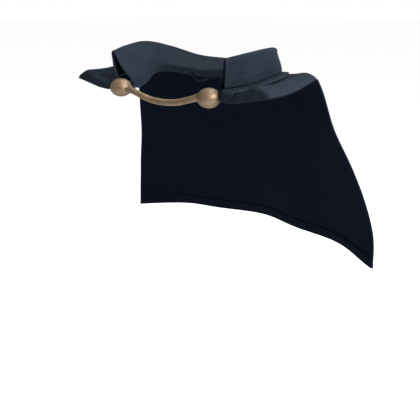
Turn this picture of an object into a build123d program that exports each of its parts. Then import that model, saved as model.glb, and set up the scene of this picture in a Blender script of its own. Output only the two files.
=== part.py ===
"""Collared shoulder cape with a ball-and-chain front closure, in millimetres, +Z up.

The origin is the centre of the neck opening, level with the two clasps. +X is the
wearer's left, -Y is the wearer's front. The cape is mirror-symmetric about X = 0, so
each cloth piece is written for the wearer's left and mirrored for the right.
"""
import math
import os

from build123d import *

# ---------------------------------------------------------------- driving sizes
CLASP_X = 110.0            # half the distance between the two clasps
CLASP_Y = -45.0            # clasp centres lie this far in front of the neck centre
BALL_WIDTH = 38.0
BALL_HEIGHT = 31.5
BALL_WALL = 1.2

NECK_HALF = 116.0          # neck opening, half width
NECK_BACK = 48.0           # neck opening, from its centre to the back
NECK_RISE = 33.0           # highest point of the neckline
NECK_BACK_Z = 28.0

COLLAR_FRONT_X = 137.0     # upright front edge of the collar
COLLAR_FRONT_Y = -39.0
COLLAR_FRONT_TOP = 59.5
WING_X = 153.0             # highest point of each side of the collar
WING_Y = 51.0
WING_Z = 72.5
COLLAR_BACK = 102.0        # the collar leans out to here at the centre back
COLLAR_BACK_Z = 46.0
COLLAR_BASE_BACK = 115.0

SHOULDER_X = 236.0         # outer edge of the shoulders, at the front
SHOULDER_REAR_X = 223.0
SHOULDER_REAR_Y = 79.0
SHOULDER_REAR_Z = 29.0
SHOULDER_FRONT_Z = 9.0
PAD_RISE = 15.0            # how far the padded shoulder ridge stands up at the front
PAD_INNER = 0.42           # the wadding's edges, as shares of the shoulder's width
PAD_OUTER = 0.93

HEM_X = 299.0              # the hanging back, half width at the hem
HEM_SIDE_Y = 152.0
HEM_BACK_Y = 206.0
HEM_Z = -257.0             # hem at the centre back
HEM_DROP = 23.0            # the hem's corners hang this much lower
FLUTE = 7.0                # depth of the soft folds at the hem
FOLDS = 3                  # half waves from the centre back to the side edge

WOOL = 2.2
SATIN = 1.0
CANVAS = 1.4
LAYER_GAP = 0.5            # clearance between layers of cloth
SEAM_GAP = 0.5             # clearance between neighbouring pieces at a seam

CHAIN_DIAMETER = 10.5
CHAIN_SAG = 15.4
STEM_DIAMETER = 3.0
BEAD_DIAMETER = 6.8
BEAD_SEAT = 4.2            # from the bead's centre to the outside of the ball
BEAD_CLEAR = 1.5           # how far along its slot the bead starts to clear the wall
RUNNING_FIT = 0.5
CAP_DIAMETER = 11.8
CAP_GRIP = 4.5             # how far each cap reaches over the end of the chain
CAP_SEAT = 5.0             # from the end of the chain to the cap's outer face

POST_DIAMETER = 5.0
TAB_THICKNESS = 4.0
RIVET_DIAMETER = 3.0

BEAD_INSET = BALL_WIDTH / 2 - BEAD_SEAT
BEAD_X = CLASP_X - BEAD_INSET
ELBOW_X = BEAD_X - 7.7     # where each stem bends down into its cap
TAB_FRONT = CLASP_Y + BALL_WIDTH / 2 + 1.0
TAB_BACK = TAB_FRONT + TAB_THICKNESS


# ---------------------------------------------------------------- curves and surfaces
def lerp(a, b, t):
    return a + (b - a) * t


def along(points, s):
    """Point at s (0 to 1) on a smooth curve through the points, evenly spaced in s."""
    last = len(points) - 1
    place = min(max(s, 0.0), 1.0) * last
    i = min(int(place), last - 1)
    t = place - i
    before = points[max(i - 1, 0)]
    start = points[i]
    end = points[i + 1]
    after = points[min(i + 2, last)]
    result = []
    for a, b, c, d in zip(before, start, end, after):
        out_slope = (c - a) / 2
        in_slope = (d - b) / 2
        result.append(b + out_slope * t
                      + (3 * (c - b) - 2 * out_slope - in_slope) * t * t
                      + (2 * (b - c) + out_slope + in_slope) * t * t * t)
    return tuple(result)


def neckline(s):
    """Neckline from the clasp (s = 0) round one side to the centre back (s = 1)."""
    front_x = NECK_HALF
    return along([
        (front_x, TAB_FRONT + 0.5, 14.0),
        (front_x + 1, 0.0, 20.0),
        (front_x - 8, NECK_BACK * 0.55, NECK_RISE - 4),
        (front_x * 0.72, NECK_BACK * 0.85, NECK_RISE),
        (front_x * 0.38, NECK_BACK * 0.98, NECK_RISE - 2),
        (0.0, NECK_BACK, NECK_BACK_Z)], s)


def collar_rim(s):
    """Top edge of the collar, where the facing turns over into the fall."""
    return along([
        (COLLAR_FRONT_X, COLLAR_FRONT_Y, COLLAR_FRONT_TOP),
        (lerp(COLLAR_FRONT_X, WING_X, 0.7) + 2, 2.0, WING_Z - 5),
        (WING_X, WING_Y, WING_Z),
        (WING_X * 0.8, COLLAR_BACK * 0.85, WING_Z - 9),
        (WING_X * 0.4, COLLAR_BACK * 0.98, COLLAR_BACK_Z + 3),
        (0.0, COLLAR_BACK, COLLAR_BACK_Z)], s)


def top_seam(w):
    """Top edge of the back: neckline from the centre (w = 0), then the shoulder seam."""
    return along([
        (0.0, NECK_BACK, NECK_BACK_Z - 1),
        neckline(0.8)[:2] + (NECK_RISE - 4,),
        neckline(0.6)[:2] + (NECK_RISE - 3,),
        (NECK_HALF + 4, SHOULDER_REAR_Y * 0.78, SHOULDER_REAR_Z + 3),
        (lerp(NECK_HALF, SHOULDER_REAR_X, 0.46), SHOULDER_REAR_Y * 0.96, SHOULDER_REAR_Z + 1),
        (SHOULDER_REAR_X - 24, SHOULDER_REAR_Y, SHOULDER_REAR_Z + 2),
        (SHOULDER_REAR_X, SHOULDER_REAR_Y, SHOULDER_REAR_Z - 1)], w)


def shoulder_seam(t):
    """Seam between the shoulder and the back, from the neckline (t = 0) to the tip."""
    return top_seam(lerp(1 / 3, 1.0, t))


def shoulder_front(t):
    """Lower front edge of the shoulder, from behind the clasp (t = 0) to the corner."""
    return along([
        (NECK_HALF + 1, TAB_FRONT + 0.5, -4.0),
        (NECK_HALF + 19, CLASP_Y + 7, -5.0),
        (lerp(NECK_HALF, SHOULDER_X, 0.38), CLASP_Y, -4.0),
        (lerp(NECK_HALF, SHOULDER_X, 0.68), CLASP_Y, SHOULDER_FRONT_Z - 7),
        (SHOULDER_X, CLASP_Y + 1, SHOULDER_FRONT_Z)], t)


def shoulder_side(s):
    """Outer edge of the shoulder, from the front corner (s = 0) to the rear tip."""
    return along([
        (SHOULDER_X, CLASP_Y + 1, SHOULDER_FRONT_Z),
        (SHOULDER_X - 2, lerp(CLASP_Y, SHOULDER_REAR_Y, 0.32), SHOULDER_FRONT_Z + 2),
        (SHOULDER_X - 5, lerp(CLASP_Y, SHOULDER_REAR_Y, 0.6), SHOULDER_FRONT_Z + 8),
        (SHOULDER_REAR_X, SHOULDER_REAR_Y, SHOULDER_REAR_Z - 1)], s)


def shoulder_low(s, t):
    """Underside of the shoulder. s runs front to seam, t runs neckline to outer edge."""
    neck = neckline(0.6 * s)
    seam_z = top_seam(1 / 3)[2]
    neck = (neck[0] + 1 - s, neck[1], lerp(neck[2] - 18.0, seam_z, s ** 2))
    side = shoulder_side(s)
    front = shoulder_front(t)
    seam = shoulder_seam(t)
    corners = [shoulder_front(0), shoulder_front(1), shoulder_seam(0), shoulder_seam(1)]
    result = []
    for n, o, f, k, c00, c01, c10, c11 in zip(neck, side, front, seam, *corners):
        blend = lerp(n, o, t) + lerp(f, k, s)
        blend -= lerp(lerp(c00, c01, t), lerp(c10, c11, t), s)
        result.append(blend)
    return tuple(result)


def pad_height(s, t):
    """Height of the wool over the underside: a roll along the shoulder's outer half."""
    front = along([(16,), (15,), (11,), (13,), (PAD_RISE + 5,), (3,)], t)[0]
    rear = along([(0.8,), (1.5,), (2,), (2.5,), (PAD_RISE * 0.3,), (0.8,)], t)[0]
    return lerp(front, rear, s)


def shoulder_top(s, t):
    x, y, z = shoulder_low(s, t)
    return (x, y, z + pad_height(s, t))


def back_row(u, row):
    """Point u (0 centre, 1 side edge) on one of six levels from the shoulder to the hem."""
    down = row / 6
    if row == 0:
        return top_seam(u)
    hem_low = HEM_Z - HEM_DROP
    centre_y = lerp(COLLAR_BASE_BACK - 5, HEM_BACK_Y, down ** 1.1 if row > 1 else 0.06)
    centre_z = lerp(21.0, HEM_Z, max(down - 1 / 6, 0) * 1.2)
    side = along([
        (SHOULDER_REAR_X, SHOULDER_REAR_Y, SHOULDER_REAR_Z - 1),
        (lerp(SHOULDER_REAR_X, HEM_X, 0.07), SHOULDER_REAR_Y + 11, 2.0),
        (lerp(SHOULDER_REAR_X, HEM_X, 0.24), SHOULDER_REAR_Y + 25, hem_low * 0.19),
        (lerp(SHOULDER_REAR_X, HEM_X, 0.54), HEM_SIDE_Y - 26, hem_low * 0.41),
        (lerp(SHOULDER_REAR_X, HEM_X, 0.80), HEM_SIDE_Y - 12, hem_low * 0.61),
        (lerp(SHOULDER_REAR_X, HEM_X, 0.97), HEM_SIDE_Y - 2, hem_low * 0.81),
        (HEM_X, HEM_SIDE_Y, hem_low)], down)
    rise = (0, 13, 7, 3, 0, 0, 0)[row] * math.sin(math.pi * u) ** 2
    fold = FLUTE * down ** 2 * math.cos(FOLDS * math.pi * u)
    return (
        side[0] * u,
        lerp(centre_y, side[1], u * u) + fold,
        lerp(centre_z, side[2], u * u) + rise)


def back_surface(u, v):
    """Back of the cape. u runs centre to side edge, v runs shoulder seam to hem."""
    return along([back_row(u, row) for row in range(7)], v)


def collar_base(s):
    """Lower edge of the collar's fall, resting on the yoke all the way round."""
    lift = 2 * WOOL + 2 * LAYER_GAP + lerp(0.6, 2.0, s) + 1.2 * math.sin(math.pi * s)
    seats = [
        shoulder_top(0.0, 0.21),
        shoulder_top(0.4, 0.33),
        shoulder_top(0.93, 0.44),
        back_surface(0.4, 0.085),
        back_surface(0.22, 0.125),
        back_surface(0.0, 0.13)]
    x, y, z = along(seats, s)
    return (x, y, z + lift)


# ---------------------------------------------------------------- cloth makers
def subtract(a, b):
    return tuple(p - q for p, q in zip(a, b))


def cross(a, b):
    return (a[1] * b[2] - a[2] * b[1], a[2] * b[0] - a[0] * b[2], a[0] * b[1] - a[1] * b[0])


def unit(a):
    length = math.sqrt(sum(p * p for p in a))
    return tuple(p / length for p in a)


def normal_at(surface, u, v, outwards):
    """Unit normal of a surface, on the side that the outwards vector points to."""
    step = 0.01
    along_u = subtract(surface(min(u + step, 1), v), surface(max(u - step, 0), v))
    along_v = subtract(surface(u, min(v + step, 1)), surface(u, max(v - step, 0)))
    normal = unit(cross(along_u, along_v))
    facing = sum(p * q for p, q in zip(normal, outwards))
    return normal if facing > 0 else tuple(-p for p in normal)


def cloth(surface, outwards, low, high, u_range=(0.0, 1.0), v_range=(0.0, 1.0), nu=16, nv=8):
    """Layer of cloth between two offsets from a surface, on its outwards side."""
    rows = []
    for i in range(nu + 1):
        u = lerp(u_range[0], u_range[1], i / nu)
        row = []
        for j in range(nv + 1):
            v = lerp(v_range[0], v_range[1], j / nv)
            x, y, z = surface(u, v)
            n = normal_at(surface, u, v, outwards)
            row.append(Vector(x + n[0] * low + SEAM_GAP / 2, y + n[1] * low, z + n[2] * low))
        rows.append(row)
    face = Face.make_surface_from_array_of_points(rows, tol=0.05, max_deg=5)
    middle = normal_at(surface, sum(u_range) / 2, sum(v_range) / 2, outwards)
    return Solid.thicken(face, high - low, normal_override=Vector(*middle))


def both_sides(name, solid):
    """Save the wearer's left piece and its mirror image."""
    save(name + "_left", solid)
    save(name + "_right", solid.mirror(Plane.YZ))


def save(name, shape):
    os.makedirs("parts", exist_ok=True)
    export_step(shape, "parts/" + name + ".step")


# ---------------------------------------------------------------- collar
def facing_surface(s, v):
    """Inner face of the collar, from the neckline (v = 0) up to the rim (v = 1)."""
    low = neckline(s)
    high = collar_rim(s)
    x, y, z = (lerp(a, b, v) for a, b in zip(low, high))
    sag = 3.0 * (1 - s) * math.sin(math.pi * v)
    return (x, y, z + (WOOL + LAYER_GAP) * (1 - v) - sag)


def fall_surface(s, v):
    """Outer face of the collar, from the rim (v = 0) down to the yoke (v = 1)."""
    high = collar_rim(s)
    low = collar_base(s)
    x, y, z = (lerp(a, b, v) for a, b in zip(high, low))
    away = unit((low[0], low[1], 0.01))
    swell = 2.0 * math.sin(math.pi * v) + 0.8 + 0.8 * v
    return (x + away[0] * swell, y + away[1] * swell, z)


def build_collar():
    up = (0, 0, 1)
    side = (1, 0.3, 0)
    both_sides("collar_facing", cloth(facing_surface, up, 0, WOOL, nu=24))
    inside = -LAYER_GAP
    both_sides("collar_canvas", cloth(
        facing_surface, up, inside - CANVAS, inside, (0.03, 1.0), (0.2, 0.88), nu=24))
    both_sides("collar_fall", cloth(fall_surface, side, 0, WOOL, (0.0, 0.99), nu=24))


# ---------------------------------------------------------------- yoke
def yoke_surface(s, v):
    """Layer over the shoulder, from under the collar (v = 0) to its free edge (v = 1)."""
    inner = lerp(0.2, 0.38, s)
    edge = lerp(0.52, 0.57, s) + 0.04 * math.sin(math.pi * s)
    x, y, z = shoulder_top(s, lerp(inner, edge, v))
    return (x, y, z + WOOL + LAYER_GAP + 2.4 * v * v)


def yoke_back_surface(u, v):
    """Layer over the back of the neck; u runs from the centre to the shoulder seam."""
    reach = 0.62 * u
    start = lerp(0.09, 0.02, u)
    end = lerp(0.2, 0.025 + 0.11 * (1 - u), u)
    return back_surface(reach, lerp(start, end, v))


def build_yoke():
    up = (0, 0, 1)
    both_sides("yoke", cloth(yoke_surface, up, 0, WOOL, (0.0, 0.985), nu=12, nv=6))
    low = WOOL + LAYER_GAP
    both_sides("yoke_back", cloth(
        yoke_back_surface, (0, 0.3, 1), low, low + WOOL, (0.0, 0.98), nu=14, nv=6))


# ---------------------------------------------------------------- shoulders
def pad_section(s):
    """Closed outline of the wadding across the shoulder, in one upright plane."""
    places = [lerp(PAD_INNER, PAD_OUTER, i / 6) for i in range(7)]
    level = shoulder_low(s, (PAD_INNER + PAD_OUTER) / 2)[1]
    floor = []
    roof = []
    for t in places:
        x, y, z = shoulder_low(s, t)
        bottom = z + 2 * LAYER_GAP
        top = max(z + pad_height(s, t) - 2 * LAYER_GAP, bottom + 0.5)
        floor.append(Vector(x, level, bottom))
        roof.append(Vector(x, level, top))
    return Wire.make_polygon(floor + roof[::-1], close=True)


def return_surface(t, w):
    """Turned-down front edge of the shoulder, from its lower edge (w = 0) up."""
    x, y, z = shoulder_low(0.0, lerp(0.22, 0.97, t))
    height = pad_height(0.0, lerp(0.22, 0.97, t)) + WOOL
    return (x, y - LAYER_GAP, z + height * w)


def build_shoulders():
    up = (0, 0, 1)
    both_sides("shoulder_shell", cloth(shoulder_top, up, 0, WOOL, (0.005, 0.985), (0.03, 0.99)))
    both_sides("shoulder_lining", cloth(
        shoulder_low, up, -LAYER_GAP - SATIN, -LAYER_GAP, (0.005, 0.98), (0.03, 0.99)))
    stations = [lerp(0.04, 0.8, i / 6) for i in range(7)]
    pad = Solid.make_loft([pad_section(s) for s in stations], ruled=True)
    both_sides("shoulder_pad", pad)
    both_sides("front_facing", cloth(return_surface, (0, -1, 0), 0, WOOL, nu=12, nv=3))


# ---------------------------------------------------------------- back
def build_back():
    out = (0, 1, 0.4)
    both_sides("back_shell", cloth(
        back_surface, out, 0, WOOL, (0.0, 1.0), (0.008, 1.0), nu=24, nv=24))
    low = -LAYER_GAP - SATIN
    both_sides("back_lining", cloth(
        back_surface, out, low, -LAYER_GAP, (0.0, 0.995), (0.018, 0.995), nu=24, nv=24))
    both_sides("hem_facing", cloth(
        back_surface, out, low - LAYER_GAP - WOOL, low - LAYER_GAP,
        (0.0, 0.99), (0.93, 0.993), nu=20, nv=3))


# ---------------------------------------------------------------- neck
def tape_surface(s, v):
    """Tape that binds the neckline seam, standing just inside it."""
    x, y, z = neckline(lerp(0.07, 1.0, s))
    reach = math.hypot(x, y)
    inset = 1 - 2.0 / reach
    return (x * inset, y * inset, z + lerp(-8.0, 1.0, v))


def loop_surface(u, v):
    """Hanging loop sewn inside the back of the neck, as a narrow ribbon."""
    x = lerp(-26.0, 26.0, u)
    y = NECK_BACK - 3.6 - 5.0 * math.sin(math.pi * u)
    z = NECK_BACK_Z - 3.0 - 12.0 * math.sin(math.pi * u)
    return (x, y, z + lerp(-2.5, 2.5, v))


def build_neck():
    both_sides("neck_tape", cloth(tape_surface, (-1, -0.5, 0), 0, SATIN, nu=24, nv=3))
    save("hanger_loop", cloth(loop_surface, (0, -1, 0), 0, SATIN, nu=10, nv=3))
    width = NECK_HALF + 2.6 - (CLASP_X - 12)
    tab = Box(width, TAB_THICKNESS, 19.0)
    tab = fillet(tab.edges().filter_by(Axis.Y), 4.0)
    tab = Pos(CLASP_X - 12 + width / 2, TAB_FRONT + TAB_THICKNESS / 2, 1.5) * tab
    bore = Rot(90, 0, 0) * Cylinder(POST_DIAMETER / 2 + 1.4, 20)
    both_sides("clasp_tab", (tab - Pos(CLASP_X, TAB_BACK, 0) * bore).solid())


# ---------------------------------------------------------------- clasps
def ball_dome(upper):
    """Pressed half of the clasp ball: a thin flattened dome, about its own centre."""
    sign = 1 if upper else -1
    wide = BALL_WIDTH / 2
    tall = BALL_HEIGHT / 2
    split = 0.05 * sign
    with BuildSketch(Plane.XZ) as profile:
        Ellipse(wide, tall)
        Ellipse(wide - BALL_WALL, tall - BALL_WALL, mode=Mode.SUBTRACT)
        Rectangle(wide, tall + 1, align=(Align.MIN, Align.MIN if upper else Align.MAX),
                  mode=Mode.INTERSECT)
    dome = revolve(profile.sketch, Axis.Z, 360)
    dome = Pos(0, 0, split) * dome
    post_hole = Rot(90, 0, 0) * Cylinder(POST_DIAMETER / 2 + 0.05, 14)
    rivet_hole = Cylinder(RIVET_DIAMETER / 2 + 0.05, BALL_HEIGHT + 2)
    return dome - Pos(0, wide, 0) * post_hole - rivet_hole


def mouth_cut():
    """Round mouth where the fixed end of the chain enters the right clasp."""
    radius = STEM_DIAMETER / 2 + RUNNING_FIT + 0.6
    return Pos(-BALL_WIDTH / 2, 0, 0) * (Rot(0, 90, 0) * Cylinder(radius, 9))


def catch_cut():
    """Keyhole of the left clasp: a slot from the mouth to a hole that the bead clears."""
    slot = STEM_DIAMETER + 2 * RUNNING_FIT
    reach = BALL_WIDTH
    narrow = Box(reach, reach, slot, align=(Align.MAX, Align.MAX, Align.CENTER))
    narrow = Pos(-BEAD_INSET, slot / 2, 0) * narrow
    hole = Rot(90, 0, 0) * Cylinder(
        BEAD_DIAMETER / 2 + RUNNING_FIT, reach, align=(Align.CENTER, Align.CENTER, Align.MIN))
    return narrow + Pos(-BEAD_INSET - 0.4, -BEAD_CLEAR, 0) * hole


def build_clasp(side, x, cut):
    """Ball, post, rivet and fixings of one clasp; x is its centre."""
    place = Pos(x, CLASP_Y, 0)
    for half, upper in (("upper", True), ("lower", False)):
        dome = place * (ball_dome(upper) - cut)
        save("ball_" + half + "_" + side, dome.solid())
    post_end = TAB_BACK - CLASP_Y + 3.4
    post = Rot(90, 0, 0) * Cylinder(POST_DIAMETER / 2, post_end, align=(
        Align.CENTER, Align.CENTER, Align.MAX))
    boss = Cylinder(POST_DIAMETER / 2 + 1.2, POST_DIAMETER + 1.5)
    bore = Cylinder(RIVET_DIAMETER / 2 + 0.05, BALL_HEIGHT)
    save("clasp_post_" + side, (place * (post + boss - bore)).solid())
    rivet = Cylinder(RIVET_DIAMETER / 2, BALL_HEIGHT - 0.2)
    save("clasp_rivet_" + side, (place * rivet).solid())
    ring_outer = POST_DIAMETER / 2 + 1.3
    eyelet = Cylinder(ring_outer, TAB_THICKNESS + 0.8)
    eyelet -= Cylinder(POST_DIAMETER / 2 + 0.1, TAB_THICKNESS + 2)
    eyelet = Pos(x, TAB_FRONT + TAB_THICKNESS / 2, 0) * (Rot(90, 0, 0) * eyelet)
    save("clasp_eyelet_" + side, eyelet.solid())
    plate = Cylinder(5.0, 1.0) - Cylinder(POST_DIAMETER / 2 + 0.1, 3)
    plate = Pos(x, TAB_BACK + 0.9 + 0.1, 0) * (Rot(90, 0, 0) * plate)
    save("clasp_plate_" + side, plate.solid())
    cap = Cylinder(4.4, 3.4) - Pos(0, 0, 0.7) * Cylinder(POST_DIAMETER / 2 + 0.05, 2.1)
    cap = chamfer(cap.edges().group_by(Axis.Z)[0], 0.6)
    cap = Pos(x, TAB_BACK + 1.6 + 1.7, 0) * (Rot(90, 0, 0) * cap)
    save("clasp_nut_" + side, cap.solid())


# ---------------------------------------------------------------- chain
def chain_route():
    """Points of the hanging chain from the right clasp to the left one."""
    half = ELBOW_X - CAP_SEAT
    points = []
    for x in (-half, -50.0, -17.0, 17.0, 50.0, half):
        z = -(CHAIN_SAG + 1.2) * (1 - (x / ELBOW_X) ** 2)
        points.append((x, CLASP_Y, z))
    return points


def corner_radii(points):
    """Radius of each bend: 0.45 of the shorter run over the tangent of half the turn."""
    radii = []
    for before, here, after in zip(points, points[1:], points[2:]):
        first = Vector(*here) - Vector(*before)
        second = Vector(*after) - Vector(*here)
        half_turn = math.radians(first.get_angle(second) / 2)
        radii.append(0.45 * min(first.length, second.length) / math.tan(half_turn))
    return radii


def build_chain():
    points = chain_route()
    radii = corner_radii(points)
    path = FilletPolyline(*[Vector(*p) for p in points], radius=radii)
    print("chain bend radii", [round(r, 1) for r in radii])
    start = Plane(origin=path @ 0, z_dir=path % 0)
    cord = sweep(start * Circle(CHAIN_DIAMETER / 2), path)
    expected = math.pi * CHAIN_DIAMETER ** 2 / 4 * path.length
    print("chain length", round(path.length, 2), "volume ratio", cord.volume / expected)
    save("chain", cord.solid())
    for side, sign, index in (("left", 1, -1), ("right", -1, 0)):
        end = Vector(*points[index])
        inner = Vector(*points[-2 if index else 1])
        build_chain_end(side, sign, end, (end - inner).normalized())


def build_chain_end(side, sign, end, direction):
    """Cap that grips the end of the chain, with the stem that runs into the clasp."""
    bead = Vector(sign * BEAD_X, CLASP_Y, 0)
    elbow = Vector(sign * ELBOW_X, CLASP_Y, 0)
    rise = (Align.CENTER, Align.CENTER, Align.MIN)
    cup = Plane(origin=end - direction * CAP_GRIP, z_dir=direction)
    seat = Plane(origin=end, z_dir=direction)
    cap = cup * Cylinder(CAP_DIAMETER / 2, CAP_GRIP + CAP_SEAT - 0.6, align=rise)
    cap -= cup * Cylinder(CHAIN_DIAMETER / 2 + 0.1, CAP_GRIP, align=rise)
    cap -= seat * Cylinder(STEM_DIAMETER / 2 + 0.1, CAP_SEAT + 1, align=rise)
    save("chain_cap_" + side, cap.solid())
    root = end + direction * 0.6
    path = Polyline(root, elbow, bead)
    section = Plane(origin=root, z_dir=elbow - root) * Circle(STEM_DIAMETER / 2)
    stem = sweep(section, path, transition=Transition.ROUND)
    if side == "left":
        save("chain_stem_left", (stem + Pos(bead) * Sphere(BEAD_DIAMETER / 2)).solid())
        return
    outer = BEAD_DIAMETER / 2
    along_x = Pos(bead) * Rot(0, -90, 0)
    pin = Cylinder(STEM_DIAMETER / 2, outer + 0.3, align=rise)
    pin += Pos(0, 0, outer + 0.2) * Cylinder(STEM_DIAMETER / 2 + 0.8, 1.0, align=rise)
    save("chain_stem_right", (stem + along_x * pin).solid())
    ring = Sphere(outer) - Cylinder(STEM_DIAMETER / 2 + 0.1, BEAD_DIAMETER * 2)
    save("pivot_bead_right", (along_x * ring).solid())


def build_cape():
    build_collar()
    build_yoke()
    build_shoulders()
    build_back()
    build_neck()
    build_clasp("left", CLASP_X, catch_cut())
    build_clasp("right", -CLASP_X, mirror(mouth_cut(), about=Plane.YZ))
    build_chain()


build_cape()
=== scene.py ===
"""Looks of a short wool shoulder cape with a ball-and-chain front closure, in metres.

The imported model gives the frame; this script builds every cloth piece, the chain and
their stitching, and dresses the metal pieces. +X is the wearer's left, -Y the front.
"""
import logging
import math
from dataclasses import dataclass, field
from enum import Enum
from typing import Callable, Iterable, Sequence

import bmesh
import bpy
import numpy as np
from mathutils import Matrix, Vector


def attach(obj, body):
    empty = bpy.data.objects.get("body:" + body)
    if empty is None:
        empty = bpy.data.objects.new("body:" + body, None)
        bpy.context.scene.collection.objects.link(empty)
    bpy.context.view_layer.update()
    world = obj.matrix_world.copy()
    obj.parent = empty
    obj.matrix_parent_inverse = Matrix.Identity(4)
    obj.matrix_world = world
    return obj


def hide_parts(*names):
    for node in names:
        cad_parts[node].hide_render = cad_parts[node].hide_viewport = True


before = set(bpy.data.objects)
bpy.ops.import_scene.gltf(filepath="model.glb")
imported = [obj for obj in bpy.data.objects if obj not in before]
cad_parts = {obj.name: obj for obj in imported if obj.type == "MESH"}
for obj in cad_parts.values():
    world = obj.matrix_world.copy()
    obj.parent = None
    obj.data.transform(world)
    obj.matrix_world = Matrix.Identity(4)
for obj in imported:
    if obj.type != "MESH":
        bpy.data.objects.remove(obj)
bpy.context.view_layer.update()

log = logging.getLogger("cape")

Point = tuple[float, float, float]
Surface = Callable[[float, float], Point]
Pieces = tuple[bpy.types.Object, ...]

WOOL = 0.0022
SATIN = 0.0010
LAYER_GAP = 0.0005
HALF_SEAM = 0.00004


class Side(Enum):
    """The wearer's side that a piece belongs to; the value is the sign of X."""

    LEFT = 1
    RIGHT = -1

    @property
    def word(self) -> str:
        """Name used at the end of piece names."""
        return self.name.lower()


class Facing(Enum):
    """Direction that a sheet's outer face points to."""

    UP = (0.0, 0.0, 1.0)
    BACK = (0.0, 1.0, 0.4)
    FRONT = (0.0, -1.0, 0.0)
    OUT = (1.0, 0.3, 0.0)
    IN = (-1.0, -0.5, 0.0)


# ------------------------------------------------------------------ helpers
def show(name: str, data: bpy.types.ID) -> bpy.types.Object:
    """New object in the scene that holds some data."""
    piece = bpy.data.objects.new(name, data)
    bpy.context.scene.collection.objects.link(piece)
    return piece


def lerp(a: float, b: float, t: float) -> float:
    """Value a share t of the way from a to b."""
    return a + (b - a) * t


def smooth(t: float) -> float:
    """Eased share, flat at 0 and at 1."""
    t = min(max(t, 0.0), 1.0)
    return t * t * (3.0 - 2.0 * t)


def along(points: Sequence[Sequence[float]], s: float) -> tuple[float, ...]:
    """Point on a smooth curve through some points.

    Args:
        points: points of any dimension, evenly spaced in s.
        s: place on the curve, 0 to 1.

    Returns:
        The point at s.
    """
    last = len(points) - 1
    place = min(max(s, 0.0), 1.0) * last
    i = min(int(place), last - 1)
    t = place - i
    before, start = points[max(i - 1, 0)], points[i]
    end, after = points[i + 1], points[min(i + 2, last)]
    result = []
    for a, b, c, d in zip(before, start, end, after):
        out_slope = (c - a) / 2
        in_slope = (d - b) / 2
        result.append(b + out_slope * t
                      + (3 * (c - b) - 2 * out_slope - in_slope) * t * t
                      + (2 * (b - c) + out_slope + in_slope) * t ** 3)
    return tuple(result)


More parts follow.
